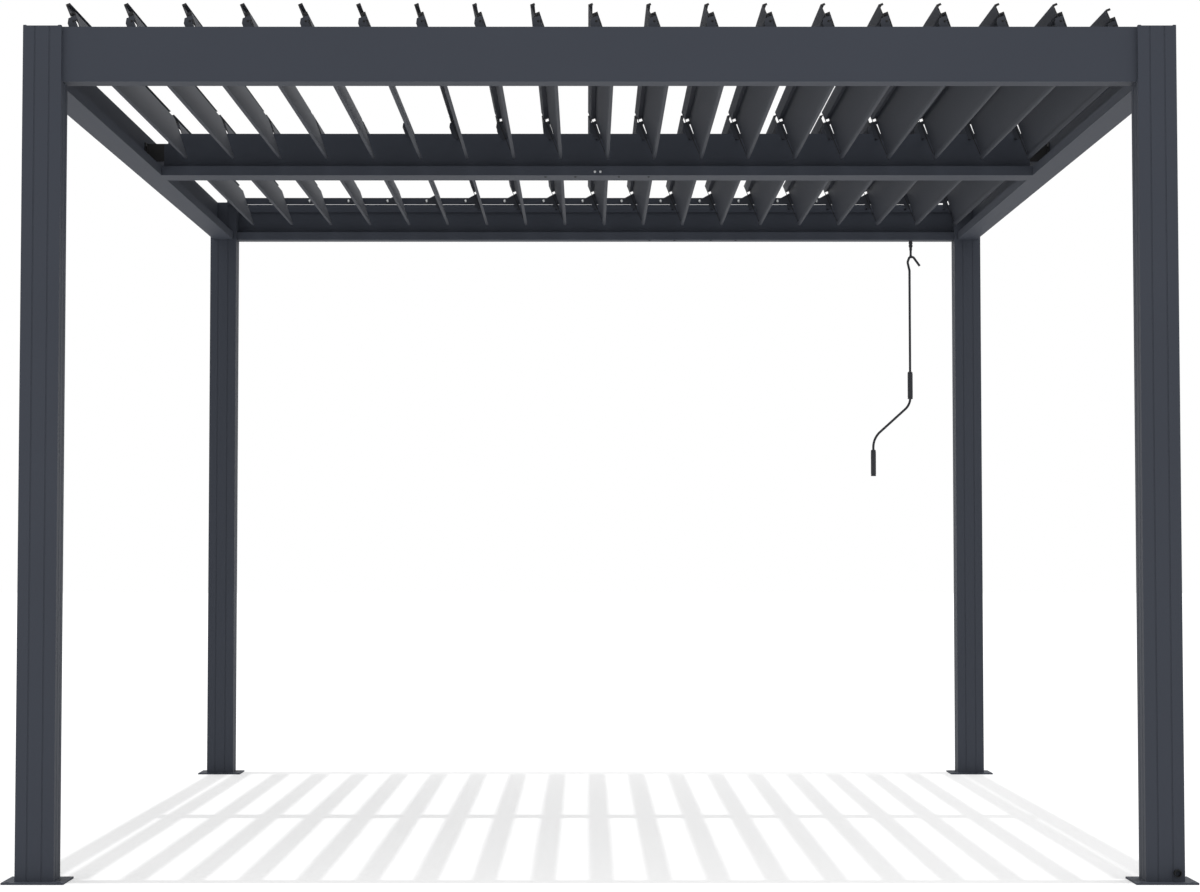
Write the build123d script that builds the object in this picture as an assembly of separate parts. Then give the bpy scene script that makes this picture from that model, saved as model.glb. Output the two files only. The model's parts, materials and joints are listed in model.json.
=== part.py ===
from build123d import *
import math
import os

os.makedirs("parts", exist_ok=True)

# Louvered pergola, all sizes in millimetres.
# X runs along the front, Y runs back through the two roof bays, Z is up.
# The origin is on the ground at the middle of the plan.

# Overall frame
FRAME_WIDTH = 3000.0
FRAME_DEPTH = 4000.0
BEAM_TOP_Z = 2216.0

# Posts
POST_SIZE = 100.0
POST_SIDES = 4
POST_WALL = 2.5
GROOVE_OFFSET = 19.0
GROOVE_WIDTH = 4.0
GROOVE_DEPTH = 1.2

# Base plates and their anchor holes
PLATE_SIZE = 160.0
PLATE_THICK = 5.0
ANCHOR_SPACING = 132.0
ANCHOR_R = 6.0

# Post caps
CAP_THICK = 3.0
CAP_SKIRT_DEPTH = 14.0
CAP_SKIRT_WALL = 2.5
CAP_CLEARANCE = 0.5

# Perimeter beam: a hollow web outside and an open gutter inside
BEAM_HEIGHT = 144.0
WEB_WIDTH = 15.0
WEB_WALL = 2.0
GUTTER_WIDTH = 60.0
GUTTER_FLOOR = 3.0
GUTTER_LIP_HEIGHT = 30.0
GUTTER_LIP_WALL = 2.5
GUTTER_BEAD_WIDTH = 6.0
GUTTER_BEAD_HEIGHT = 4.0

# Louver blade section, measured from its tip down the blade and square to it
LOUVER_COUNT = 19
LOUVER_OVERLAP = 15.1
SIDE_ROOM = 105.4
BLADE_LEAN = 22.3
BLADE_WALL = 1.8
LIP_LENGTH = 26.0
HOOK_HEIGHT = 11.5
SHOULDER_HEIGHT = 15.0
NOSE_HEIGHT = 6.0
NOSE_DROP = 3.0
NOSE_RETURN = 12.0

# Louver pivots
PIVOT_ALONG = 85.0
PIVOT_ACROSS = -3.0
PIVOT_DROP = 16.5
PIN_R = 4.0
PIN_SIDES = 8
PIN_CLEARANCE = 0.3
BLADE_POST_GAP = 20.0
BLADE_RAIL_GAP = 11.5
CORNER_GAP = 6.0
FRONT_BAY_GAP = 54.5
REAR_BAY_GAP = 20.5
END_PLATE_THICK = 4.0
SEAT_GAP = 0.3
PLATE_START = 36.0
PLATE_STEP = 47.0
PLATE_TOP_ACROSS = 8.0
PLATE_LOW_ACROSS = -14.0
HUB_MARGIN = 12.0

# Bearing rails on the front and rear webs
RAIL_THICK = 6.0
RAIL_HEIGHT = 30.0
RAIL_END_GAP = 2.0
PIN_END_GAP = 1.0

# Link bar and its lever arms at the rear ends of the blades
LEVER_LEFT = 49.5
LEVER_RISE = 21.0
LEVER_EYE_R = 9.0
FOOT_LEFT = 14.0
FOOT_RIGHT = 3.0
FOOT_TOP = 18.0
WINDOW_TOP = 20.0
LINK_PIN_R = 3.0
LINK_HEIGHT = 25.0
LINK_THICK = 5.0
LINK_GAP = 1.5
LINK_END = 18.0

# Gearbox and hand crank under the rear beam
CRANK_ROOM = 166.0
GEARBOX_LENGTH = 46.0
GEARBOX_HEIGHT = 30.0
SLEEVE_R = 6.8
SLEEVE_END_R = 5.0
SLEEVE_LENGTH = 30.0
SLEEVE_TAPER = 6.0
SLEEVE_SIDES = 12
NECK_R = 4.0
NECK_GAP = 0.3
ROD_R = 4.3
ROD_SHIFT = 5.0
ROD_SIDES = 6
EYE_TOP_DROP = 64.0
EYE_HALF_WIDTH = 10.0
EYE_LEFT = 12.0
EYE_WAIST_DROP = 84.0
EYE_BOTTOM_DROP = 117.0
EYE_TAIL_OUT = 35.0
EYE_TAIL_DROP = 99.0
KNEE_DROP = 642.0
ELBOW_DROP = 773.0
CRANK_BOTTOM_DROP = 921.0
CRANK_OFFSET = 150.0
CRANK_BEND_R = 25.0
GRIP_R = 10.0
GRIP_SIDES = 16
GRIP_CLEARANCE = 0.1
UPPER_GRIP_LENGTH = 107.0
UPPER_GRIP_RISE = 21.5
LOWER_GRIP_LENGTH = 103.0

# Drain outlet on the front right post
OUTLET_R = 10.0
OUTLET_BORE_R = 7.5
OUTLET_LENGTH = 14.0
OUTLET_Z = 27.0
OUTLET_SIDE = 30.0
OUTLET_SIDES = 16

# Brackets that hang the middle beam between the side beams
BRACKET_THICK = 4.0
BRACKET_DROP = 33.0
BRACKET_HEIGHT = 57.0
BRACKET_WING = 40.0
WEB_END_NOTCH = 12.5

# Places that follow from the sizes above
HALF_W = FRAME_WIDTH / 2
HALF_D = FRAME_DEPTH / 2
POST_INNER_X = HALF_W - POST_SIZE
POST_INNER_Y = HALF_D - POST_SIZE
BEAM_WIDTH = WEB_WIDTH + GUTTER_WIDTH
BEAM_RECESS = (POST_SIZE - BEAM_WIDTH) / 2
BEAM_BOTTOM_Z = BEAM_TOP_Z - BEAM_HEIGHT
WEB_INNER_X = HALF_W - BEAM_RECESS - WEB_WIDTH
WEB_INNER_Y = HALF_D - BEAM_RECESS - WEB_WIDTH
LIP_X = HALF_W - BEAM_RECESS - BEAM_WIDTH
LOUVER_PITCH = 2 * (WEB_INNER_X - SIDE_ROOM) / (LOUVER_COUNT - 1)
BLADE_LENGTH = LOUVER_PITCH + LOUVER_OVERLAP
PIVOT_Z = BEAM_TOP_Z - PIVOT_DROP
BLADE_OUTER_Y = POST_INNER_Y - BLADE_POST_GAP
BLADE_FRONT_Y = WEB_INNER_Y - RAIL_THICK - BLADE_RAIL_GAP
FRONT_BAY_END = WEB_WIDTH / 2 + FRONT_BAY_GAP
REAR_BAY_START = WEB_WIDTH / 2 + REAR_BAY_GAP
LINK_Y = BLADE_OUTER_Y + SEAT_GAP + END_PLATE_THICK + LINK_GAP
CRANK_X = POST_INNER_X - CRANK_ROOM
CRANK_Y = HALF_D - BEAM_RECESS - BEAM_WIDTH / 2


def pivot_x(index):
    return (index - (LOUVER_COUNT + 1) / 2) * LOUVER_PITCH


def polygon(points):
    return make_face(Polyline(*points, close=True))


def write(shape, name):
    export_step(shape, "parts/" + name + ".step")


# Posts, base plates and caps

def post_section():
    outline = Rectangle(POST_SIZE, POST_SIZE)
    inner = POST_SIZE - 2 * POST_WALL
    outline -= Rectangle(inner, inner)
    groove = Rectangle(GROOVE_WIDTH, 2 * GROOVE_DEPTH)
    for turn in range(POST_SIDES):
        for side in (-1, 1):
            place = Pos(side * GROOVE_OFFSET, POST_SIZE / 2)
            outline -= Rot(0, 0, turn * 360 / POST_SIDES) * place * groove
    return outline


def post():
    return extrude(Pos(0, 0, PLATE_THICK) * post_section(), BEAM_TOP_Z - PLATE_THICK)


def base_plate():
    plate = extrude(Rectangle(PLATE_SIZE, PLATE_SIZE), PLATE_THICK)
    holes = [Pos(x, y) * Circle(ANCHOR_R)
             for x in (-ANCHOR_SPACING / 2, ANCHOR_SPACING / 2)
             for y in (-ANCHOR_SPACING / 2, ANCHOR_SPACING / 2)]
    return plate - extrude(Sketch() + holes, PLATE_THICK)


def post_cap():
    top = extrude(Pos(0, 0, BEAM_TOP_Z) * Rectangle(POST_SIZE, POST_SIZE), CAP_THICK)
    skirt = POST_SIZE - 2 * POST_WALL - 2 * CAP_CLEARANCE
    ring = Rectangle(skirt, skirt) - Rectangle(skirt - 2 * CAP_SKIRT_WALL,
                                               skirt - 2 * CAP_SKIRT_WALL)
    return top + extrude(Pos(0, 0, BEAM_TOP_Z - CAP_SKIRT_DEPTH) * ring, CAP_SKIRT_DEPTH)


# Beams

def gutter_points(start):
    """Gutter outline on one side of a web, from its foot out to the bead and back."""
    lip = start + GUTTER_WIDTH
    bead = lip - GUTTER_BEAD_WIDTH
    return [(lip, 0), (lip, GUTTER_LIP_HEIGHT), (bead, GUTTER_LIP_HEIGHT),
            (bead, GUTTER_LIP_HEIGHT - GUTTER_BEAD_HEIGHT),
            (lip - GUTTER_LIP_WALL, GUTTER_LIP_HEIGHT - GUTTER_BEAD_HEIGHT),
            (lip - GUTTER_LIP_WALL, GUTTER_FLOOR), (start, GUTTER_FLOOR)]


def web_hollow(centre):
    height = BEAM_HEIGHT - 2 * WEB_WALL
    return Pos(centre, BEAM_HEIGHT / 2) * Rectangle(WEB_WIDTH - 2 * WEB_WALL, height)


def perimeter_section():
    outline = [(0, 0)] + gutter_points(WEB_WIDTH) + [(WEB_WIDTH, BEAM_HEIGHT), (0, BEAM_HEIGHT)]
    return polygon(outline) - web_hollow(WEB_WIDTH / 2)


def middle_section():
    half = WEB_WIDTH / 2
    right = gutter_points(half)
    left = [(-x, z) for x, z in reversed(right)]
    return polygon(right + [(half, BEAM_HEIGHT), (-half, BEAM_HEIGHT)] + left) - web_hollow(0)


def beam(section, start, inward, along, length):
    """Runs a section from start along one way, with its local x pointing inward."""
    return extrude(Plane(origin=start, x_dir=inward, z_dir=along) * section, length)


def pin_notches(y_middle, width):
    """Open-topped notches for every louver pin, across a web or rail of the given width."""
    radius = PIN_R + PIN_CLEARANCE
    depth = BEAM_TOP_Z - PIVOT_Z + radius
    notch = Pos(0, y_middle, BEAM_TOP_Z - depth / 2) * Box(2 * radius, width, depth)
    return [Pos(pivot_x(i)) * notch for i in range(1, LOUVER_COUNT + 1)]


def centre_beam():
    """Middle beam, with the top of its web cut back where the end brackets hold it."""
    body = beam(middle_section(), (-LIP_X, 0, BEAM_BOTTOM_Z), (0, 1, 0), (1, 0, 0), 2 * LIP_X)
    step = Box(WEB_END_NOTCH, WEB_WIDTH, BRACKET_DROP)
    for side in (-1, 1):
        body -= Pos(side * (LIP_X - WEB_END_NOTCH / 2), 0, BEAM_TOP_Z - BRACKET_DROP / 2) * step
    return body - pin_notches(0, WEB_WIDTH)


def bearing_rail():
    """The front rail; the rear one is its mirror image."""
    length = 2 * (POST_INNER_X - RAIL_END_GAP)
    y_middle = -WEB_INNER_Y + RAIL_THICK / 2
    strip = Pos(0, y_middle, BEAM_TOP_Z - RAIL_HEIGHT / 2) * Box(length, RAIL_THICK, RAIL_HEIGHT)
    return strip - pin_notches(y_middle, RAIL_THICK)


def centre_bracket():
    """Angle bracket in the left gutter, from the side web to the end of the middle beam."""
    middle_z = BEAM_TOP_Z - BRACKET_DROP - BRACKET_HEIGHT / 2
    gap = WEB_INNER_X - LIP_X
    wall = Pos(-WEB_INNER_X + BRACKET_THICK / 2, 0, middle_z)
    arm = Pos(-WEB_INNER_X + gap / 2, 0, middle_z)
    return (wall * Box(BRACKET_THICK, 2 * BRACKET_WING, BRACKET_HEIGHT)
            + arm * Box(gap, WEB_WIDTH, BRACKET_HEIGHT))


# Louvers

def blade_plane(y):
    """Section plane of a blade at one Y: x runs from the pivot down the blade."""
    lean = math.radians(BLADE_LEAN)
    return Plane(origin=(0, y, PIVOT_Z), x_dir=(math.sin(lean), 0, -math.cos(lean)),
                 z_dir=(0, -1, 0))


def blade_outline(points):
    """Moves points given from the blade's tip so that they are measured from the pivot."""
    return [(u - PIVOT_ALONG, v - PIVOT_ACROSS) for u, v in points]


def skin(u):
    """Height of the blade's outer skin at one place down the blade."""
    slope = (NOSE_HEIGHT - SHOULDER_HEIGHT) / (BLADE_LENGTH - LIP_LENGTH)
    return SHOULDER_HEIGHT + slope * (u - LIP_LENGTH)


def blade_section():
    """Open tray: hooked lip where the next blade lands, sloping skin and folded nose."""
    wall = BLADE_WALL
    shoulder = LIP_LENGTH + wall
    fold = BLADE_LENGTH - NOSE_DROP
    back = BLADE_LENGTH - NOSE_RETURN
    outer = [(0, 0), (0, HOOK_HEIGHT), (wall, HOOK_HEIGHT), (wall, wall), (LIP_LENGTH, wall),
             (LIP_LENGTH, skin(LIP_LENGTH)), (BLADE_LENGTH, NOSE_HEIGHT), (BLADE_LENGTH, 0),
             (fold, -NOSE_DROP), (back, -NOSE_DROP)]
    inner = [(back, wall - NOSE_DROP), (fold - wall / 2, wall - NOSE_DROP),
             (BLADE_LENGTH - wall, wall / 2), (BLADE_LENGTH - wall, skin(BLADE_LENGTH) - wall),
             (shoulder, skin(shoulder) - wall), (shoulder, 0)]
    return polygon(blade_outline(outer + inner))


def end_plate_section():
    """Plate in the corner of a blade's end, under its skin, which carries the pivot pin."""
    low = PLATE_LOW_ACROSS
    far = PIVOT_ALONG + HUB_MARGIN
    plate = [(PLATE_START, skin(PLATE_START)), (PLATE_START, low / 2),
             (PLATE_START + HUB_MARGIN, low), (PIVOT_ALONG, PIVOT_ACROSS - HUB_MARGIN),
             (far, PIVOT_ACROSS), (far, PLATE_TOP_ACROSS), (PLATE_STEP, PLATE_TOP_ACROSS),
             (PLATE_STEP, skin(PLATE_STEP))]
    return polygon(blade_outline(plate))


def level_point(x, z):
    """A place given level from the pivot, turned into the blade's own directions."""
    lean = math.radians(BLADE_LEAN)
    return (PIVOT_ALONG + x * math.sin(lean) - z * math.cos(lean),
            PIVOT_ACROSS + x * math.cos(lean) + z * math.sin(lean))


def lever_section():
    """Rear end plate: an arm to the eye for the link bar's pin, and a foot to the pivot."""
    low = LEVER_RISE - LEVER_EYE_R
    arm = [(PLATE_START, skin(PLATE_START)), level_point(-LEVER_LEFT - LEVER_EYE_R, LEVER_RISE),
           level_point(-LEVER_LEFT - LEVER_EYE_R / 2, low), level_point(-FOOT_LEFT, low)]
    foot = [level_point(-FOOT_LEFT, -PIN_R), level_point(0, -HUB_MARGIN),
            level_point(HUB_MARGIN, -HUB_MARGIN), level_point(FOOT_RIGHT, FOOT_TOP)]
    reach = PIVOT_ALONG - WINDOW_TOP
    return polygon(blade_outline(arm + foot + [(reach, skin(reach))]))


def blade_piece(section, y_low, y_high):
    return extrude(blade_plane(y_high) * section, y_high - y_low)


def pin(x, z, radius, y_low, y_high):
    """Pin along Y, as a prism of few sides."""
    plane = Plane(origin=(x, y_high, z), x_dir=(1, 0, 0), z_dir=(0, -1, 0))
    return extrude(plane * RegularPolygon(radius, PIN_SIDES), y_high - y_low)


def seated_pin(radius, y_low, y_high):
    """Pivot pin of few sides, with a true arc at its foot where it bears in its notch."""
    step = 2 * math.pi / PIN_SIDES
    angles = [(side + 0.5) * step - math.pi / 2 for side in range(PIN_SIDES)]
    corners = [(radius * math.cos(a), radius * math.sin(a)) for a in angles]
    foot = ThreePointArc(corners[-1], (0, -radius), corners[0])
    plane = Plane(origin=(0, y_high, PIVOT_Z), x_dir=(1, 0, 0), z_dir=(0, -1, 0))
    return extrude(plane * make_face([foot, Polyline(*corners)]), y_high - y_low)


def front_carrier(front):
    """End plate and pivot pin at the front end of a louver."""
    face = -front - SEAT_GAP
    plate = blade_piece(end_plate_section(), face - END_PLATE_THICK, face)
    return plate + pin(0, PIVOT_Z, PIN_R, PIN_END_GAP - WEB_INNER_Y, face - END_PLATE_THICK)


def middle_carrier():
    """Two end plates on one pin that lies in the middle beam's notch."""
    front = SEAT_GAP - FRONT_BAY_END
    rear = REAR_BAY_START - SEAT_GAP
    plate = end_plate_section()
    shape = blade_piece(plate, front, front + END_PLATE_THICK)
    shape += blade_piece(plate, rear - END_PLATE_THICK, rear)
    return shape + seated_pin(PIN_R, front + END_PLATE_THICK, rear - END_PLATE_THICK)


def rear_carrier():
    """Lever at the rear end of a louver, with its pivot pin and its pin for the link bar."""
    face = BLADE_OUTER_Y + SEAT_GAP
    back = face + END_PLATE_THICK
    shape = blade_piece(lever_section(), face, back)
    shape += pin(0, PIVOT_Z, PIN_R, back, WEB_INNER_Y - PIN_END_GAP)
    return shape + pin(-LEVER_LEFT, PIVOT_Z + LEVER_RISE, LINK_PIN_R, back,
                       LINK_Y + LINK_THICK + LINK_GAP)


def post_corner(front):
    """What is cut from the first louver's nose, so that it passes the post as it closes."""
    start = PIVOT_ALONG + POST_INNER_X + pivot_x(1) - CORNER_GAP
    corner = polygon(blade_outline([(start, -BLADE_LENGTH), (2 * BLADE_LENGTH, -BLADE_LENGTH),
                                    (2 * BLADE_LENGTH, BLADE_LENGTH), (start, BLADE_LENGTH)]))
    return blade_piece(corner, -front, CORNER_GAP - POST_INNER_Y)


def louver(index):
    """Front and rear blades of one louver on one pivot line, with their end plates."""
    front = BLADE_OUTER_Y if index == LOUVER_COUNT else BLADE_FRONT_Y
    blade = blade_section()
    front_blade = blade_piece(blade, -front, -FRONT_BAY_END)
    if index == 1:
        front_blade -= post_corner(front)
    rear_blade = blade_piece(blade, REAR_BAY_START, BLADE_OUTER_Y)
    pieces = [front_blade, rear_blade, front_carrier(front), middle_carrier(), rear_carrier()]
    return Pos(pivot_x(index), 0, 0) * Compound(children=pieces)


def link_bar():
    first = pivot_x(1) - LEVER_LEFT - LINK_END
    last = pivot_x(LOUVER_COUNT) - LEVER_LEFT + LINK_END
    centre_z = PIVOT_Z + LEVER_RISE
    bar = Pos((first + last) / 2, LINK_Y + LINK_THICK / 2, centre_z)
    bar = bar * Box(last - first, LINK_THICK, LINK_HEIGHT)
    radius = (LINK_PIN_R + PIN_CLEARANCE) / math.cos(math.pi / PIN_SIDES)
    holes = [pin(pivot_x(i) - LEVER_LEFT, centre_z, radius, LINK_Y, LINK_Y + LINK_THICK)
             for i in range(1, LOUVER_COUNT + 1)]
    return bar - holes


# Crank drive

def gearbox():
    """Housing on the gutter floor, and the tapered sleeve below the floor."""
    floor = BEAM_BOTTOM_Z + GUTTER_FLOOR
    housing = Pos(CRANK_X, CRANK_Y, floor + GEARBOX_HEIGHT / 2)
    housing = housing * Box(GEARBOX_LENGTH, GUTTER_WIDTH / 2, GEARBOX_HEIGHT)
    low = BEAM_BOTTOM_Z - SLEEVE_LENGTH + SLEEVE_TAPER
    outline = Pos(CRANK_X, CRANK_Y, low) * RegularPolygon(SLEEVE_R, SLEEVE_SIDES)
    tip = Pos(CRANK_X, CRANK_Y, low - SLEEVE_TAPER) * RegularPolygon(SLEEVE_END_R, SLEEVE_SIDES)
    sleeve = extrude(outline, BEAM_BOTTOM_Z - low) + loft([tip, outline])
    return Compound(children=[housing, sleeve])


def crank_point(x_shift, drop):
    return (CRANK_X + x_shift, CRANK_Y, BEAM_BOTTOM_Z - drop)


def crank_rod():
    """Neck below the sleeve, and the rod that hooks into it and bends to the hand grip."""
    waist = crank_point(-ROD_SHIFT, EYE_BOTTOM_DROP + EYE_HALF_WIDTH)
    hook = [crank_point(EYE_TAIL_OUT, EYE_TAIL_DROP), crank_point(EYE_HALF_WIDTH, EYE_TOP_DROP),
            crank_point(-EYE_HALF_WIDTH / 2, EYE_TOP_DROP),
            crank_point(-EYE_LEFT, EYE_WAIST_DROP),
            crank_point(-ROD_SHIFT, EYE_BOTTOM_DROP), waist]
    rod = [waist, crank_point(-ROD_SHIFT, KNEE_DROP), crank_point(-CRANK_OFFSET, ELBOW_DROP),
           crank_point(-CRANK_OFFSET, CRANK_BOTTOM_DROP)]
    path = Polyline(*hook) + FilletPolyline(*rod, radius=CRANK_BEND_R)
    start = Vector(*hook[0])
    plane = Plane(origin=start, x_dir=(0, 1, 0), z_dir=Vector(*hook[1]) - start)
    section = plane * RegularPolygon(ROD_R, ROD_SIDES)
    neck_top = SLEEVE_LENGTH + NECK_GAP
    neck_length = EYE_TOP_DROP - neck_top
    neck = Pos(*crank_point(0, neck_top + neck_length / 2)) * Cylinder(NECK_R, neck_length)
    return sweep(section, path=path, transition=Transition.RIGHT) + neck


def crank_grips():
    """Upper grip above the knee and lower grip at the end of the rod."""
    hole = Rot(0, 0, 180 / ROD_SIDES) * RegularPolygon(ROD_R + GRIP_CLEARANCE, ROD_SIDES)
    ring = RegularPolygon(GRIP_R, GRIP_SIDES) - hole
    upper = Pos(*crank_point(-ROD_SHIFT, KNEE_DROP - UPPER_GRIP_RISE))
    lower = Pos(*crank_point(-CRANK_OFFSET, CRANK_BOTTOM_DROP))
    return Compound(children=[upper * extrude(ring, UPPER_GRIP_LENGTH),
                              lower * extrude(ring, LOWER_GRIP_LENGTH)])


def drain_outlet():
    """Short spout on the front face of the front right post."""
    x = HALF_W - POST_SIZE / 2 + OUTLET_SIDE
    ring = RegularPolygon(OUTLET_R, OUTLET_SIDES) - Circle(OUTLET_BORE_R)
    return extrude(Plane(origin=(x, -HALF_D, OUTLET_Z), z_dir=(0, -1, 0)) * ring, OUTLET_LENGTH)


def main():
    corners = {"front_left": (-1, -1), "front_right": (1, -1),
               "rear_left": (-1, 1), "rear_right": (1, 1)}
    for name, (side, end) in corners.items():
        place = Pos(side * (HALF_W - POST_SIZE / 2), end * (HALF_D - POST_SIZE / 2))
        write(place * post(), "post_" + name)
        write(place * base_plate(), "base_plate_" + name)
        write(place * post_cap(), "post_cap_" + name)

    section = perimeter_section()
    outer_x = HALF_W - BEAM_RECESS
    outer_y = HALF_D - BEAM_RECESS
    low = BEAM_BOTTOM_Z
    front = beam(section, (-POST_INNER_X, -outer_y, low), (0, 1, 0), (1, 0, 0), 2 * POST_INNER_X)
    rear = beam(section, (POST_INNER_X, outer_y, low), (0, -1, 0), (-1, 0, 0), 2 * POST_INNER_X)
    left = beam(section, (-outer_x, POST_INNER_Y, low), (1, 0, 0), (0, -1, 0), 2 * POST_INNER_Y)
    right = beam(section, (outer_x, -POST_INNER_Y, low), (-1, 0, 0), (0, 1, 0), 2 * POST_INNER_Y)
    write(front, "front_beam")
    write(rear, "rear_beam")
    write(left, "left_beam")
    write(right, "right_beam")
    write(centre_beam(), "centre_beam")

    rail = bearing_rail()
    write(rail, "bearing_rail_front")
    write(mirror(rail, Plane.XZ), "bearing_rail_rear")
    bracket = centre_bracket()
    write(bracket, "centre_bracket_left")
    write(mirror(bracket, Plane.YZ), "centre_bracket_right")

    for index in range(1, LOUVER_COUNT + 1):
        write(louver(index), "louver_%02d" % index)
    write(link_bar(), "link_bar")

    write(gearbox(), "gearbox")
    write(crank_rod(), "crank_rod")
    write(crank_grips(), "crank_grips")
    write(drain_outlet(), "drain_outlet")


main()
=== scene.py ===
# %% [markdown]
# Louvered pergola
#
# A garden roof of nineteen aluminium louvers that tilt together, on four posts. The CAD model is
# already loaded, with every beam, post and blade in its place. This script gives it a camera,
# light and finishes, and adds the small pieces that a maker screws on last. Lengths are in
# metres, unless a name ends in MM.

# %% Load the frame
import bpy
import bmesh
import json
import math
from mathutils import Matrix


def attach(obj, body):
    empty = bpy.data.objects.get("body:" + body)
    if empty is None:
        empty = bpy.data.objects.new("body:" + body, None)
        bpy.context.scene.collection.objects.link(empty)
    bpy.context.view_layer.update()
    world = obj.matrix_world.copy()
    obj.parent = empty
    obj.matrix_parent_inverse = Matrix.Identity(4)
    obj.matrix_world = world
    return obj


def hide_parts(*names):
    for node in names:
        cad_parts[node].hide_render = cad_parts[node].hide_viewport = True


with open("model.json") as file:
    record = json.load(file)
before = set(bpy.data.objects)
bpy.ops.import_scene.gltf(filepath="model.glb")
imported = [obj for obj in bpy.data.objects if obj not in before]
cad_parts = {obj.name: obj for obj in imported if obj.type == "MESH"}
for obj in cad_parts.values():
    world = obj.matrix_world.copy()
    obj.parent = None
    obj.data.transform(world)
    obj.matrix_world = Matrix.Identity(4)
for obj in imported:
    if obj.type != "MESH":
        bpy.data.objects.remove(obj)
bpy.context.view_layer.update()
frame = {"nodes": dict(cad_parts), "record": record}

# %% [markdown]
# Camera
#
# The product was seen from far in front and low down, so the posts stay upright and the
# underside of the roof shows. A constraint could aim the camera at a target. Its place and one
# tilt are written as numbers instead, because they were fitted to the edges of the object. A
# long lens far away keeps the two bays nearly parallel, and a small shift of the lens repeats
# how the picture was cropped.

# %% Place the camera
CAMERA_PLACE = (-0.0329, -9.7385, 0.8358)
CAMERA_TILT_DEG = 3.088
LENS_MM, SENSOR_WIDTH_MM = 89.96, 36.0
LENS_SHIFT = (0.01088, -0.04225)  # as shares of the picture's width
CLIP_NEAR, CLIP_FAR = 0.1, 200.0


def put_in_scene(name, data):
    """Makes an object from its data and puts it in the scene."""
    thing = bpy.data.objects.new(name, data)
    bpy.context.scene.collection.objects.link(thing)
    return thing


camera_data = bpy.data.cameras.new("camera")
camera_data.lens = LENS_MM
camera_data.sensor_width = SENSOR_WIDTH_MM
camera_data.shift_x, camera_data.shift_y = LENS_SHIFT
camera_data.clip_start, camera_data.clip_end = CLIP_NEAR, CLIP_FAR
camera = put_in_scene("camera", camera_data)
camera.location = CAMERA_PLACE
camera.rotation_euler = (math.radians(90.0 + CAMERA_TILT_DEG), 0.0, 0.0)
bpy.context.scene.camera = camera
bpy.context.scene.view_settings.view_transform = "Standard"
print("camera at", CAMERA_PLACE, "looking up by", CAMERA_TILT_DEG, "degrees")

# %% [markdown]
# Colours and nodes
#
# A colour is written as the hex value that a painter would read from a chart. Blender works in
# linear light, so one function turns the hex value into it. A second function adds a node to a
# tree with its settings and what feeds it, which keeps every material below short. The nodes
# could be drawn by hand in the editor, but in code each value can be read and repeated.

# %% Helpers for colours and nodes
def linear(hex_value):
    """Turns an sRGB hex value such as 44474E into a linear colour, by the sRGB curve."""
    channels = [int(hex_value[i:i + 2], 16) / 255.0 for i in (0, 2, 4)]
    light = [c / 12.92 if c <= 0.04045 else ((c + 0.055) / 1.055) ** 2.4 for c in channels]
    return (*light, 1.0)


def add(tree, kind, settings=None, inputs=None):
    """Adds one node with its settings, and feeds its inputs with sockets or values."""
    node = tree.nodes.new(kind)
    for name, value in (settings or {}).items():
        setattr(node, name, value)
    for name, source in (inputs or {}).items():
        if isinstance(source, bpy.types.NodeSocket):
            tree.links.new(source, node.inputs[name])
        else:
            node.inputs[name].default_value = source
    return node


def new_material(name):
    """An empty material, with its node tree and its output."""
    material = bpy.data.materials.new(name)
    material.use_nodes = True
    material.node_tree.nodes.clear()
    output = add(material.node_tree, "ShaderNodeOutputMaterial")
    return material, material.node_tree, output


print("grey 44474E in linear light", [round(c, 4) for c in linear("44474E")[:3]])

# %% [markdown]
# Light
#
# The pergola stands in an even white surround, with a sun straight above that draws the bars of
# the roof on the floor. Area lamps could light it, but a world that is the same on every side
# suits all views alike. Light Path splits that world in two: the camera and the reflections
# meet plain white, and the metal is lit at a plain level, so its colours show as written.

# %% World and sun
WHITE = (1.0, 1.0, 1.0, 1.0)
AMBIENT_LEVEL, BACKDROP_LEVEL = 0.80, 1.0
SUN_LEVEL, SUN_ANGLE_DEG, SUN_HEIGHT = 0.95, 0.6, 6.0

world = bpy.data.worlds.new("surround")
bpy.context.scene.world = world
world.use_nodes = True
tree = world.node_tree
tree.nodes.clear()
ray = add(tree, "ShaderNodeLightPath")
ambient = add(tree, "ShaderNodeBackground", inputs={"Color": WHITE, "Strength": AMBIENT_LEVEL})
backdrop = add(tree, "ShaderNodeBackground", inputs={"Color": WHITE, "Strength": BACKDROP_LEVEL})
seen_or_mirrored = add(tree, "ShaderNodeMath", {"operation": "MAXIMUM"},
                       {0: ray.outputs["Is Camera Ray"], 1: ray.outputs["Is Glossy Ray"]})
shown = add(tree, "ShaderNodeMath", {"operation": "MAXIMUM"},
            {0: seen_or_mirrored.outputs[0], 1: ray.outputs["Is Transmission Ray"]})
surround = add(tree, "ShaderNodeMixShader",
               inputs={0: shown.outputs[0], 1: ambient.outputs[0], 2: backdrop.outputs[0]})
add(tree, "ShaderNodeOutputWorld", inputs={"Surface": surround.outputs[0]})

sun_data = bpy.data.lights.new("sun", "SUN")
sun_data.energy = SUN_LEVEL
sun_data.angle = math.radians(SUN_ANGLE_DEG)
sun = put_in_scene("sun", sun_data)
sun.location = (0.0, 0.0, SUN_HEIGHT)
print("world at", AMBIENT_LEVEL, "and sun at", SUN_LEVEL)

# %% [markdown]
# Floor
#
# A pale studio floor. A curved backdrop could hide where it ends, but one large sheet does the
# same from every side. It is a plain diffuse white that keeps the roof's shadow, with a part of
# its own white added for the camera alone, so that it fades into the surround without an edge.

# %% Lay the floor
FLOOR_HALF = 60.0
FLOOR_WHITE = (0.8, 0.8, 0.8, 1.0)
FLOOR_GLOW = 0.345

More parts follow.
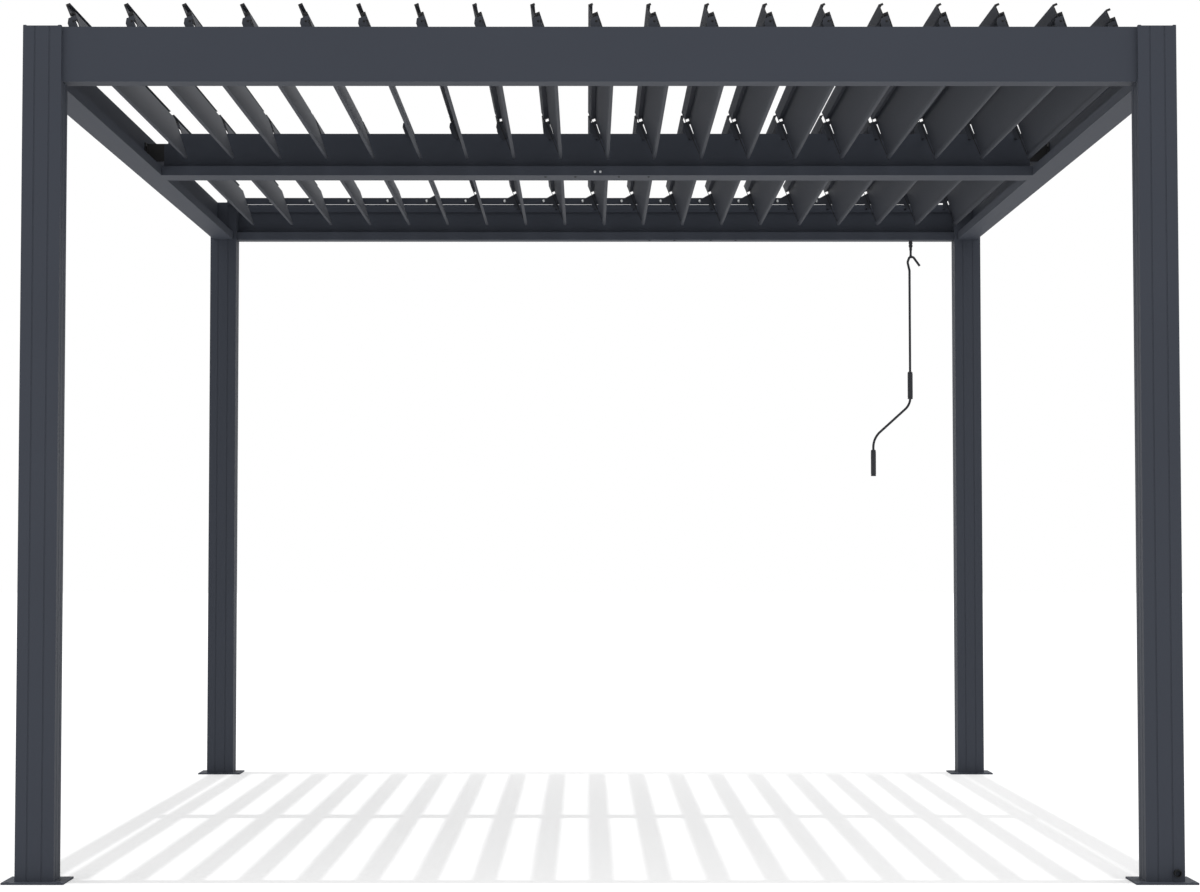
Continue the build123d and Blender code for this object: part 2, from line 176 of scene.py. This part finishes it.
floor_material, tree, output = new_material("studio_floor_white")
diffuse = add(tree, "ShaderNodeBsdfDiffuse", inputs={"Color": FLOOR_WHITE})
ray = add(tree, "ShaderNodeLightPath")
glow = add(tree, "ShaderNodeMath", {"operation": "MULTIPLY"},
           {0: ray.outputs["Is Camera Ray"], 1: FLOOR_GLOW})
shine = add(tree, "ShaderNodeEmission", inputs={"Color": WHITE, "Strength": glow.outputs[0]})
both = add(tree, "ShaderNodeAddShader", inputs={0: diffuse.outputs[0], 1: shine.outputs[0]})
tree.links.new(both.outputs[0], output.inputs["Surface"])

floor_mesh = bpy.data.meshes.new("floor")
floor_mesh.from_pydata([(-FLOOR_HALF, -FLOOR_HALF, 0), (FLOOR_HALF, -FLOOR_HALF, 0),
                        (FLOOR_HALF, FLOOR_HALF, 0), (-FLOOR_HALF, FLOOR_HALF, 0)],
                       [], [(0, 1, 2, 3)])
floor_mesh.materials.append(floor_material)
floor = put_in_scene("floor", floor_mesh)
print("floor of", 2 * FLOOR_HALF, "by", 2 * FLOOR_HALF, "metres")

# %% [markdown]
# Powder-coated aluminium
#
# The posts, beams and blades are extruded aluminium under a baked grey polyester powder. An
# image of a coat could be wrapped round each piece, but noise on object coordinates needs no
# unwrapping and keeps its real size. The coat is a dielectric, so it isn't metallic. To the eye
# it is a soft sheen over a dark blue-grey body, with the faint dimples called orange peel, and
# small changes of tone where the powder lies thicker.

# %% Powder-coat finishes
PEEL_MM = 5.0  # real dimples are about 1 mm across, and are drawn coarser so that they show
PEEL_GLOSS, PEEL_STRENGTH, PEEL_DEPTH = 0.04, 0.12, 0.0005
DRIFT_MM, DRIFT_TONE = 420.0, 0.06
COAT_IOR, COAT_SPECULAR = 1.5, 0.1
MIX_FACTOR, MIX_A, MIX_B, MIX_RESULT = 0, 6, 7, 2  # the colour sockets of a Mix node


def powder_coat(name, hex_value, roughness):
    """A satin polyester powder coat, with orange peel drawn coarse enough to show."""
    material, tree, output = new_material(name)
    place = add(tree, "ShaderNodeTexCoord").outputs["Object"]
    drift = add(tree, "ShaderNodeTexNoise",
                inputs={"Vector": place, "Detail": 2.0, "Scale": 1000.0 / DRIFT_MM})
    tone = add(tree, "ShaderNodeMapRange",
               inputs={"Value": drift.outputs["Fac"], "To Min": 1.0 - DRIFT_TONE,
                       "To Max": 1.0 + DRIFT_TONE})
    colour = add(tree, "ShaderNodeMix", {"data_type": "RGBA", "blend_type": "MULTIPLY"},
                 {MIX_FACTOR: 1.0, MIX_A: linear(hex_value), MIX_B: tone.outputs[0]})
    peel = add(tree, "ShaderNodeTexNoise",
               inputs={"Vector": place, "Detail": 1.0, "Scale": 1000.0 / PEEL_MM})
    gloss = add(tree, "ShaderNodeMapRange",
                inputs={"Value": peel.outputs["Fac"], "To Min": roughness - PEEL_GLOSS,
                        "To Max": roughness + PEEL_GLOSS})
    dimples = add(tree, "ShaderNodeBump",
                  inputs={"Height": peel.outputs["Fac"], "Strength": PEEL_STRENGTH,
                          "Distance": PEEL_DEPTH})
    shader = add(tree, "ShaderNodeBsdfPrincipled",
                 inputs={"Base Color": colour.outputs[MIX_RESULT],
                         "Roughness": gloss.outputs[0], "IOR": COAT_IOR,
                         "Specular IOR Level": COAT_SPECULAR, "Normal": dimples.outputs[0]})
    tree.links.new(shader.outputs[0], output.inputs["Surface"])
    return material


frame_coat = powder_coat("powder_coat_grey_frame", "454952", 0.60)
louver_coat = powder_coat("powder_coat_grey_louver", "45484F", 0.62)
crank_coat = powder_coat("powder_coat_grey_crank", "3C3D41", 0.50)
print("powder coats", frame_coat.name, louver_coat.name, crank_coat.name)

# %% [markdown]
# Moulded plastic
#
# The louvers' end trims, the middle beam's brackets and the drain are black moulded nylon, and
# the gearbox and the hand grips a charcoal one. The trims' black also paints the shade along the
# blades' cut edges. The coat's tree with other numbers could serve, but a moulded part has one
# grain, left by its spark-eroded mould, and here that grain drives relief, gloss and tone
# together. To the eye it is a little less even than paint.

# %% Plastic finishes
GRAIN_MM = 1.6  # a real mould's grain is about 0.2 mm, and is drawn coarser so that it shows
GRAIN_GLOSS, GRAIN_TONE, GRAIN_STRENGTH, GRAIN_DEPTH = 0.06, 0.15, 0.25, 0.0003
NYLON_IOR, NYLON_SPECULAR = 1.53, 0.35


def moulded_plastic(name, hex_value, roughness):
    """Moulded nylon with a fine mould grain."""
    material, tree, output = new_material(name)
    place = add(tree, "ShaderNodeTexCoord").outputs["Object"]
    grain = add(tree, "ShaderNodeTexNoise",
                inputs={"Vector": place, "Detail": 3.0, "Scale": 1000.0 / GRAIN_MM})
    gloss = add(tree, "ShaderNodeMapRange",
                inputs={"Value": grain.outputs["Fac"], "To Min": roughness - GRAIN_GLOSS,
                        "To Max": roughness + GRAIN_GLOSS})
    relief = add(tree, "ShaderNodeBump",
                 inputs={"Height": grain.outputs["Fac"], "Strength": GRAIN_STRENGTH,
                         "Distance": GRAIN_DEPTH})
    tone = add(tree, "ShaderNodeMapRange",
               inputs={"Value": grain.outputs["Fac"], "To Min": 1.0 - GRAIN_TONE,
                       "To Max": 1.0 + GRAIN_TONE})
    colour = add(tree, "ShaderNodeMix", {"data_type": "RGBA", "blend_type": "MULTIPLY"},
                 {MIX_FACTOR: 1.0, MIX_A: linear(hex_value), MIX_B: tone.outputs[0]})
    shader = add(tree, "ShaderNodeBsdfPrincipled",
                 inputs={"Base Color": colour.outputs[MIX_RESULT],
                         "Roughness": gloss.outputs[0], "IOR": NYLON_IOR,
                         "Specular IOR Level": NYLON_SPECULAR, "Normal": relief.outputs[0]})
    tree.links.new(shader.outputs[0], output.inputs["Surface"])
    return material


nylon_black = moulded_plastic("moulded_nylon_black", "1B1B1D", 0.55)
drain_black = moulded_plastic("moulded_drain_black", "0D0F11", 0.62)
grip_charcoal = moulded_plastic("moulded_grip_charcoal", "313338", 0.55)
print("plastics", nylon_black.name, drain_black.name, grip_charcoal.name)

# %% [markdown]
# Finishes of the CAD nodes
#
# The record gives every node a slot, such as frame_coat. A list of all the nodes could name
# their finishes, but a table by slot is shorter and covers each one. Four small fittings look a
# little different from the rest of their slot, so they are named one by one.

# %% Give every CAD node its finish
FINISHES = {"frame_coat": frame_coat, "louver_coat": louver_coat, "crank_coat": crank_coat,
            "black_plastic": nylon_black, "grip_plastic": grip_charcoal}
SPECIAL = {"centre_bracket_left": nylon_black, "centre_bracket_right": nylon_black,
           "gearbox": grip_charcoal, "drain_outlet": drain_black}

for part in frame["record"]["subparts"]:
    node = frame["nodes"][part["node"]]
    node.data.materials.clear()
    slot_finish = FINISHES[part["material_slot"]]
    node.data.materials.append(SPECIAL.get(part["node"], slot_finish))

# %% [markdown]
# Zinc-plated steel
#
# The rivets of the link bar and the two screws on the middle beam's lip are steel with a bright
# zinc plating. A plain metal colour could do, but the plating is a little cloudy from its bath,
# and a noise in its roughness shows that. It mirrors the pale surround, so it reads as light
# specks on the dark coat. All other screws are blackened, and take the black of the nylon.

# %% Zinc finish
CLOUD_MM = 2.5  # the clouds of the bath, drawn coarse enough to show
ZINC_SMOOTHEST, ZINC_DULLEST = 0.24, 0.42

zinc, tree, output = new_material("zinc_plated_steel")
place = add(tree, "ShaderNodeTexCoord").outputs["Object"]
cloud = add(tree, "ShaderNodeTexNoise",
            inputs={"Vector": place, "Detail": 2.0, "Scale": 1000.0 / CLOUD_MM})
dull = add(tree, "ShaderNodeMapRange",
           inputs={"Value": cloud.outputs["Fac"], "To Min": ZINC_SMOOTHEST,
                   "To Max": ZINC_DULLEST})
shader = add(tree, "ShaderNodeBsdfPrincipled",
             inputs={"Base Color": linear("E3E5E6"), "Metallic": 1.0,
                     "Roughness": dull.outputs[0]})
tree.links.new(shader.outputs[0], output.inputs["Surface"])
print("metal", zinc.name)

# %% [markdown]
# Helpers for meshes
#
# A finished piece keeps its place in its mesh, with its object at the origin. Primitives and
# Boolean cuts could make the small pieces, but lists of points and faces give clean meshes with
# few faces. One function turns them into an object, one pushes a flat outline into a plate, and
# one spins a profile about an upright axis.

# %% Helpers for meshes
def make_piece(name, points, faces, material):
    """A mesh object at the origin with its faces turned outwards."""
    mesh = bpy.data.meshes.new(name)
    mesh.from_pydata(points, [], faces)
    shell = bmesh.new()
    shell.from_mesh(mesh)
    bmesh.ops.recalc_face_normals(shell, faces=shell.faces)
    shell.to_mesh(mesh)
    shell.free()
    mesh.materials.append(material)
    return put_in_scene(name, mesh)


def plate_along_y(outline, y_near, y_far):
    """Points and faces of a plate with an outline in x and z, between two planes across y."""
    count = len(outline)
    points = [(x, y, z) for y in (y_near, y_far) for x, z in outline]
    sides = [(i, (i + 1) % count, count + (i + 1) % count, count + i) for i in range(count)]
    return points, sides + [tuple(range(count)), tuple(range(2 * count - 1, count - 1, -1))]


def spin(profile, sides, centre=(0.0, 0.0), hollow=None):
    """Points and faces of a profile of radius and height, spun about an upright axis.

    A hollow is a function of radius and turn that says how deep the surface is pressed in.
    """
    points = []
    for radius, height in profile:
        for side in range(sides):
            turn = 2 * math.pi * side / sides
            reach = radius - (hollow(radius, turn) if hollow else 0.0)
            points.append((centre[0] + reach * math.cos(turn),
                           centre[1] + reach * math.sin(turn), height))
    faces = [tuple(range(sides)), tuple(range(len(points) - sides, len(points)))]
    for ring in range(len(profile) - 1):
        for side in range(sides):
            here, there = ring * sides, (ring + 1) * sides
            after = (side + 1) % sides
            faces.append((here + side, here + after, there + after, there + side))
    return points, faces


print("faces of a plate with 4 corners",
      len(plate_along_y([(0, 0), (1, 0), (1, 1), (0, 1)], 0, 1)[1]))

# %% [markdown]
# Helpers for Geometry Nodes
#
# A tree could stay on its object as a live modifier, but the export drops instances and the
# other tools want plain meshes. Here a tree is built with named inputs, run once on its source,
# and only its result is kept, as a plain mesh.

# %% Helpers for Geometry Nodes
def node_group(name, sockets):
    """An empty Geometry Nodes group with named inputs, and its input and output nodes."""
    group = bpy.data.node_groups.new(name, "GeometryNodeTree")
    group.interface.new_socket("Geometry", in_out="OUTPUT", socket_type="NodeSocketGeometry")
    group.interface.new_socket("Geometry", in_out="INPUT", socket_type="NodeSocketGeometry")
    for socket_name, kind in sockets.items():
        group.interface.new_socket(socket_name, in_out="INPUT", socket_type="NodeSocket" + kind)
    return group, add(group, "NodeGroupInput"), add(group, "NodeGroupOutput")


def evaluate(name, source, group, settings):
    """Runs a node group on an object once and keeps the result as a plain mesh object."""
    modifier = source.modifiers.new("maker", "NODES")
    modifier.node_group = group
    sockets = {item.name: item.identifier for item in group.interface.items_tree
               if item.in_out == "INPUT"}
    for socket_name, value in settings.items():
        modifier[sockets[socket_name]] = value
    depsgraph = bpy.context.evaluated_depsgraph_get()
    mesh = bpy.data.meshes.new_from_object(source.evaluated_get(depsgraph), depsgraph=depsgraph)
    bpy.data.objects.remove(source)
    mesh.name = name
    return put_in_scene(name, mesh)


print("helpers for trees", node_group.__name__, evaluate.__name__)

# %% [markdown]
# A head that repeats
#
# One pan head with a small round socket serves the screws of the louvers' end plates, the link
# bar's rivets and the screws of the beams and brackets. Each head could be copied by hand, but
# a tree that puts it on points makes all heads of a body from one list of places. The head has
# few faces, and each copy turns to the direction that its point carries in an attribute.

# %% Screw head
HEAD_SIDES = 12
HEAD_PROFILE = ((1.0, 0.0), (1.0, 0.35), (0.8, 0.85), (0.52, 1.0), (0.42, 1.0), (0.38, 0.35))

head_points, head_faces = spin(HEAD_PROFILE, HEAD_SIDES)
head_template = make_piece("head_template", head_points, head_faces, zinc)
print("faces of a head", len(head_faces))

# %% The tree that repeats it
heads_group, given, result = node_group("repeat_screw_heads", {
    "Head": "Object", "Head Radius": "Float", "Head Height": "Float", "Finish": "Material"})
head_shape = add(heads_group, "GeometryNodeObjectInfo", inputs={"Object": given.outputs["Head"]})
head_size = add(heads_group, "ShaderNodeCombineXYZ",
                inputs={"X": given.outputs["Head Radius"], "Y": given.outputs["Head Radius"],
                        "Z": given.outputs["Head Height"]})
facing = add(heads_group, "GeometryNodeInputNamedAttribute", {"data_type": "FLOAT_VECTOR"},
             {"Name": "facing"})
turned = add(heads_group, "FunctionNodeAlignRotationToVector", {"axis": "Z"},
             {"Vector": facing.outputs["Attribute"]})
placed = add(heads_group, "GeometryNodeInstanceOnPoints",
             inputs={"Points": given.outputs["Geometry"],
                     "Instance": head_shape.outputs["Geometry"],
                     "Rotation": turned.outputs["Rotation"], "Scale": head_size.outputs[0]})
real_heads = add(heads_group, "GeometryNodeRealizeInstances",
                 inputs={"Geometry": placed.outputs[0]})
finished = add(heads_group, "GeometryNodeSetMaterial",
               inputs={"Geometry": real_heads.outputs[0], "Material": given.outputs["Finish"]})
heads_group.links.new(finished.outputs[0], result.inputs["Geometry"])


def screw_heads(name, places, size, finish, body):
    """One mesh of heads for one body, from places of a point and the direction it faces.

    The size is the radius and the height of a head.
    """
    mesh = bpy.data.meshes.new(name + "_points")
    mesh.from_pydata([point for point, direction in places], [], [])
    facing_data = mesh.attributes.new("facing", "FLOAT_VECTOR", "POINT").data
    for item, (point, direction) in zip(facing_data, places):
        item.vector = direction
    source = put_in_scene(name + "_points", mesh)
    piece = evaluate(name, source, heads_group, {
        "Head": head_template, "Head Radius": size[0], "Head Height": size[1],
        "Finish": finish})
    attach(piece, body)
    return piece


print("nodes of the tree", len(heads_group.nodes))

# %% [markdown]
# Louver end trims and painted edge shade
#
# A thin black band, 0.3 mm proud of the section, runs round the cut end of each aluminium
# blade. It stands partly for a black end moulding and partly for the shade along the cut
# edges, painted in black. A copy of the blade's end could be thickened for it, but an outline
# in the blade's own millimetres, along and across, is written once and stays clean. It follows
# the section: round the hook, along the web, over the shoulder and down the skin. A small tree
# then moves it to each louver.

# %% Blade measures and outlines of the trims, with their painted edge shade
LOUVER_COUNT = 19
LOUVER_PITCH = 0.1519
PIVOT_Z = 2.1995
BLADE_LEAN = math.radians(22.3)
PIVOT_ALONG_MM, PIVOT_ACROSS_MM = 85.0, -3.0
# Outlines of the black band round a blade's end: partly a moulding, partly painted shade of its
# cut edges.
OUTER_EDGE = [(-0.3, -0.3), (-0.3, 11.8)]
RISE_TO_SKIN = [(25.7, 1.9), (25.7, 15.3), (26.5, 15.3), (163.0, 6.55), (163.0, 4.3)]
FOOT = [(27.9, 1.9), (150.0, 1.9), (150.0, -0.3)]
FRONT_TRIM_AND_SHADE = (OUTER_EDGE + [(5.5, 11.8), (5.5, 1.9)] + RISE_TO_SKIN
              + [(34.0, 12.6), (29.0, 9.5), (27.9, 7.0)] + FOOT)
SLIM_TRIM_AND_SHADE = OUTER_EDGE + [(1.9, 11.8), (1.9, 1.9)] + RISE_TO_SKIN + [(27.9, 13.0)] + FOOT
SHORT_TRIM_AND_SHADE = (OUTER_EDGE + [(5.5, 11.8), (5.5, 1.9)] + RISE_TO_SKIN[:3]
              + [(109.0, 10.0), (109.0, 7.8), (34.0, 12.6), (29.0, 9.5), (27.9, 7.0),
                 (27.9, 1.9), (106.0, 1.9), (106.0, -0.3)])


def beside_pivot(along, across):
    """Turns a place on the blade's section into metres to the right of and above its pivot."""
    u, v = (along - PIVOT_ALONG_MM) / 1000.0, (across - PIVOT_ACROSS_MM) / 1000.0
    return (u * math.sin(BLADE_LEAN) + v * math.cos(BLADE_LEAN),
            v * math.sin(BLADE_LEAN) - u * math.cos(BLADE_LEAN))


def pivot_x(number):
    """The pivot's place along x of a louver, counted from 1 at the left."""
    return (number - (LOUVER_COUNT + 1) / 2) * LOUVER_PITCH


print("first and last pivot", round(pivot_x(1), 4), round(pivot_x(LOUVER_COUNT), 4))

# %% The tree that places a trim and its painted edge shade
trim_and_shade_group, given, result = node_group("place_louver_trims", {
    "Place": "Vector", "Finish": "Material"})
moved = add(trim_and_shade_group, "GeometryNodeSetPosition",
            inputs={"Geometry": given.outputs["Geometry"], "Offset": given.outputs["Place"]})
coated = add(trim_and_shade_group, "GeometryNodeSetMaterial",
             inputs={"Geometry": moved.outputs[0], "Material": given.outputs["Finish"]})
trim_and_shade_group.links.new(coated.outputs[0], result.inputs["Geometry"])
print("nodes of the tree", len(trim_and_shade_group.nodes))

# %% Trims with painted edge shade, screws and rivet of every louver
BLADE_ENDS = {"front": (-1.9585, -1.9551), "middle_front": (-0.0619, -0.0585),
              "middle_rear": (0.0245, 0.0279), "rear": (1.8801, 1.8835)}
LAST_FRONT_END = (-1.8835, -1.8801)  # the last louver stops short of the front right post
END_PLATE_Y, LAST_END_PLATE_Y = -1.9593, -1.8843
LEVER_FRONT_Y, LEVER_REAR_Y = 1.8803, 1.8843
END_SCREWS_MM = ((48.0, 3.0), (72.0, 3.0))
LINK_PIN = (-0.0495, 0.021)
END_SCREW = (0.0032, 0.0018)
LINK_RIVET = (0.0050, 0.0022)


def louver_trims_and_edge_shade(number):
    """The black end trims of one louver, with painted edge shade, made beside its pivot and
    moved by the tree.
    """
    points, faces = [], []
    for end, (near, far) in BLADE_ENDS.items():
        outline = FRONT_TRIM_AND_SHADE if end == "front" else SLIM_TRIM_AND_SHADE
        if number == 1 and end == "front":
            outline = SHORT_TRIM_AND_SHADE
        if number == LOUVER_COUNT and end == "front":
            near, far = LAST_FRONT_END
        more, sides = plate_along_y([beside_pivot(*place) for place in outline], near, far)
        faces += [tuple(len(points) + corner for corner in face) for face in sides]
        points += more
    # The band's black is partly painted shade along the blade's cut edges.
    source = make_piece("trim_points", points, faces, nylon_black)
    piece = evaluate("louver_%02d_end_trims" % number, source, trim_and_shade_group, {
        "Place": (pivot_x(number), 0.0, PIVOT_Z), "Finish": nylon_black})
    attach(piece, "louver_%02d" % number)
    return piece


for number in range(1, LOUVER_COUNT + 1):
    louver_trims_and_edge_shade(number)
    centre_x = pivot_x(number)
    front_y = LAST_END_PLATE_Y if number == LOUVER_COUNT else END_PLATE_Y
    screws = []
    for along, across in END_SCREWS_MM:
        x, z = beside_pivot(along, across)
        screws += [((centre_x + x, front_y, PIVOT_Z + z), (0, -1, 0)),
                   ((centre_x + x, LEVER_REAR_Y, PIVOT_Z + z), (0, 1, 0))]
    screw_heads("louver_%02d_end_screws" % number, screws, END_SCREW, nylon_black,
                "louver_%02d" % number)
    pin_x, pin_z = LINK_PIN
    screw_heads("louver_%02d_link_rivet" % number,
                [((centre_x + pin_x, LEVER_FRONT_Y, PIVOT_Z + pin_z), (0, -1, 0))],
                LINK_RIVET, zinc, "louver_%02d" % number)
print("louver trims", LOUVER_COUNT, "screws on each", len(screws))

# %% [markdown]
# Crank
#
# The hand crank is one round steel rod, bent cold round formers: a hook at the top that hangs in
# the drive's eye, a knee and an elbow. A bevelled Bezier curve could make it, but its handles
# say nothing of a bend. Here the line has few points, as a bender works, Fillet Curve rounds
# each corner by the bend radius that its point carries, and Curve to Mesh gives the thickness.

# %% Line of the crank rod
CRANK_X, CRANK_Y = 1.234, 1.95
ROD_X = CRANK_X - 0.005
LOW_GRIP_X = CRANK_X - 0.150
ROD_LINE = [  # x, z and the bend radius there
    (CRANK_X + 0.035, 1.973, 0.0), (CRANK_X + 0.010, 2.008, 0.009),
    (CRANK_X - 0.005, 2.008, 0.008), (CRANK_X - 0.0125, 1.988, 0.018), (ROD_X, 1.955, 0.030),
    (ROD_X, 1.430, 0.060), (LOW_GRIP_X, 1.299, 0.080), (LOW_GRIP_X, 1.151, 0.0)]

rod_curve = bpy.data.curves.new("rod_line", "CURVE")
rod_curve.dimensions = "3D"
spline = rod_curve.splines.new("POLY")
spline.points.add(len(ROD_LINE) - 1)
for point, (x, z, bend) in zip(spline.points, ROD_LINE):
    point.co = (x, CRANK_Y, z, 1.0)
    point.radius = bend
rod_source = put_in_scene("rod_line", rod_curve)
print("points of the rod's line", len(ROD_LINE))

# %% The tree that bends the rod
ROD_R, ROD_SIDES, BEND_STEPS = 0.0046, 16, 8

rod_group, given, result = node_group("bend_round_rod", {
    "Rod Radius": "Float", "Sides": "Int", "Finish": "Material"})
bend_radius = add(rod_group, "GeometryNodeInputRadius")
bent = add(rod_group, "GeometryNodeFilletCurve", {"mode": "POLY"},
           {"Curve": given.outputs["Geometry"], "Radius": bend_radius.outputs[0],
            "Limit Radius": True, "Count": BEND_STEPS})
even = add(rod_group, "GeometryNodeSetCurveRadius",
           inputs={"Curve": bent.outputs[0], "Radius": 1.0})
round_section = add(rod_group, "GeometryNodeCurvePrimitiveCircle",
                    inputs={"Radius": given.outputs["Rod Radius"],
                            "Resolution": given.outputs["Sides"]})
tube = add(rod_group, "GeometryNodeCurveToMesh",
           inputs={"Curve": even.outputs[0], "Profile Curve": round_section.outputs[0],
                   "Fill Caps": True})
smooth = add(rod_group, "GeometryNodeSetShadeSmooth", inputs={"Geometry": tube.outputs[0]})
coated = add(rod_group, "GeometryNodeSetMaterial",
             inputs={"Geometry": smooth.outputs[0], "Material": given.outputs["Finish"]})
rod_group.links.new(coated.outputs[0], result.inputs["Geometry"])

rod = evaluate("crank_bent_rod", rod_source, rod_group,
               {"Rod Radius": ROD_R, "Sides": ROD_SIDES, "Finish": crank_coat})
print("faces of the rod", len(rod.data.polygons))

# %% [markdown]
# Turned pieces of the drive
#
# The neck below the gearbox, the rings on its sleeve and the two hand grips are round. The Screw
# modifier could turn each from a drawn edge, but a short list of radii and heights is easier to
# read and to change. The grips have a ridge at each end, and between them shallow flutes run
# along their length for the fingers.

# %% Neck and grips
NECK_SIDES, GRIP_SIDES = 20, 48
NECK_PROFILE = [(0.0056, 2.0418), (0.0056, 2.036), (0.0044, 2.033), (0.0044, 2.016),
                (0.0054, 2.013), (0.0054, 2.006), (0.0036, 2.0035)]
GRIP_LOW_END = [(0.0088, 0.0), (0.0100, 0.0015), (0.0102, 0.005), (0.0089, 0.006),
                (0.0101, 0.0075)]
GRIP_HIGH_END = [(0.0101, -0.0095), (0.0089, -0.008), (0.0102, -0.007), (0.0098, -0.003),
                 (0.0062, 0.0)]
GRIP_PLACES = {"upper": (ROD_X, 1.4515, 1.5585), "lower": (LOW_GRIP_X, 1.151, 1.254)}
FLUTES, FLUTE_DEPTH, FLUTED_ABOVE_R = 12, 0.0006, 0.009


def finger_flutes(radius, turn):
    """How deep a wide ring of a grip is pressed in, at a turn about its axis."""
    if radius <= FLUTED_ABOVE_R:
        return 0.0
    return FLUTE_DEPTH * (0.5 - 0.5 * math.cos(FLUTES * turn))


neck = make_piece("crank_neck", *spin(NECK_PROFILE, NECK_SIDES, (CRANK_X, CRANK_Y)), crank_coat)
grips = []
for grip_name, (grip_x, low, high) in GRIP_PLACES.items():
    profile = ([(radius, low + rise) for radius, rise in GRIP_LOW_END]
               + [(radius, high + rise) for radius, rise in GRIP_HIGH_END])
    shape = spin(profile, GRIP_SIDES, (grip_x, CRANK_Y), finger_flutes)
    grips.append(make_piece("crank_%s_grip" % grip_name, *shape, grip_charcoal))
for piece in [rod, neck] + grips:
    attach(piece, "crank")
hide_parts("crank_rod")
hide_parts("crank_grips")
print("crank parts", 2 + len(grips))

# %% Rings on the sleeve
RING_SIDES = 24
RING_PROFILE = [(0.0060, -0.0032), (0.0080, -0.0022), (0.0082, 0.0), (0.0080, 0.0022),
                (0.0060, 0.0032)]
RING_HEIGHTS = {"upper": 2.063, "lower": 2.052}

for ring_name, ring_z in RING_HEIGHTS.items():
    profile = [(radius, ring_z + rise) for radius, rise in RING_PROFILE]
    ring = make_piece("sleeve_%s_ring" % ring_name,
                      *spin(profile, RING_SIDES, (CRANK_X, CRANK_Y)), crank_coat)
    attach(ring, "frame")
print("sleeve rings", len(RING_HEIGHTS))

# %% [markdown]
# Post caps
#
# A pressed cap closes each post. It is a thin plate with a soft edge and four small raised
# corners, where the sheet is gathered, which show as dots against the sky. A cube with a Bevel
# modifier could make each block, but three rings of four points do it with ten faces, and only
# the upper edges are softened.

# %% Post caps
POST_CENTRE_X, POST_CENTRE_Y = 1.45, 1.95
POST_TOP = 2.216
CAP_HALF, CAP_THICK, CAP_BEVEL = 0.05, 0.0012, 0.0006
CORNER_SIZE, CORNER_RISE, CORNER_BEVEL = 0.009, 0.003, 0.0011
CAP_NAMES = {"front_left": (-1, -1), "front_right": (1, -1),
             "rear_left": (-1, 1), "rear_right": (1, 1)}


def block(points, faces, low, high, bevel):
    """Adds a block whose upper edges are bevelled to a list of points and faces."""
    start = len(points)
    (x0, y0, z0), (x1, y1, z1) = low, high
    for inset, z in ((0.0, z0), (0.0, z1 - bevel), (bevel, z1)):
        points += [(x0 + inset, y0 + inset, z), (x1 - inset, y0 + inset, z),
                   (x1 - inset, y1 - inset, z), (x0 + inset, y1 - inset, z)]
    for ring in (0, 4):
        faces += [tuple(start + ring + k for k in (i, (i + 1) % 4, (i + 1) % 4 + 4, i + 4))
                  for i in range(4)]
    faces += [tuple(start + k for k in (3, 2, 1, 0)), tuple(start + k for k in (8, 9, 10, 11))]


for corner, (side, end) in CAP_NAMES.items():
    cap_points, cap_faces = [], []
    x, y = side * POST_CENTRE_X, end * POST_CENTRE_Y
    block(cap_points, cap_faces, (x - CAP_HALF, y - CAP_HALF, POST_TOP),
          (x + CAP_HALF, y + CAP_HALF, POST_TOP + CAP_THICK), CAP_BEVEL)
    for sx in (-1, 1):
        for sy in (-1, 1):
            cx = x + sx * (CAP_HALF - CORNER_SIZE / 2)
            cy = y + sy * (CAP_HALF - CORNER_SIZE / 2)
            block(cap_points, cap_faces,
                  (cx - CORNER_SIZE / 2, cy - CORNER_SIZE / 2, POST_TOP + CAP_THICK),
                  (cx + CORNER_SIZE / 2, cy + CORNER_SIZE / 2, POST_TOP + CORNER_RISE),
                  CORNER_BEVEL)
    cap = make_piece("post_%s_pressed_cap" % corner, cap_points, cap_faces, frame_coat)
    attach(cap, "frame")
    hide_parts("post_cap_" + corner)
print("post caps", len(CAP_NAMES), "faces of each", len(cap_faces))

# %% [markdown]
# Screws of the frame
#
# Two bright screws in the middle of the centre beam join its gutter lip, and dark ones close the
# screw holes below the beams and hold the brackets. They could be part of the beams' meshes, but
# the tree for heads is there already, and it needs only their places.

# %% Screws of the frame
LIP_FACE_Y = -0.0675
LIP_SCREWS = (-0.0070, 0.0110)
LIP_SCREW_Z = 2.0843
BEAM_UNDERSIDE = 2.0720
UNDER_SCREWS = (-0.168, -0.071, 0.071, 0.168)
CENTRE_UNDER_Y, REAR_UNDER_X, REAR_UNDER_Y = -0.030, 0.380, 1.930
BRACKET_FACE_X = 1.4685
BRACKET_SCREWS = [(y, z) for y in (-0.032, 0.032) for z in (2.139, 2.170)]
LIP_HEAD, UNDER_HEAD, BRACKET_HEAD = (0.0042, 0.0018), (0.0045, 0.0024), (0.0055, 0.0030)

screw_heads("centre_beam_lip_screws",
            [((x, LIP_FACE_Y, LIP_SCREW_Z), (0, -1, 0)) for x in LIP_SCREWS],
            LIP_HEAD, zinc, "frame")
under = [((x, CENTRE_UNDER_Y, BEAM_UNDERSIDE), (0, 0, -1)) for x in UNDER_SCREWS]
under += [((REAR_UNDER_X + x, REAR_UNDER_Y, BEAM_UNDERSIDE), (0, 0, -1)) for x in UNDER_SCREWS]
screw_heads("beam_underside_screws", under, UNDER_HEAD, nylon_black, "frame")
screw_heads("centre_bracket_screws",
            [((side * BRACKET_FACE_X, y, z), (-side, 0, 0))
             for side in (-1, 1) for y, z in BRACKET_SCREWS],
            BRACKET_HEAD, nylon_black, "frame")
bpy.data.objects.remove(head_template)
print("frame screws", len(LIP_SCREWS) + len(under) + 2 * len(BRACKET_SCREWS))
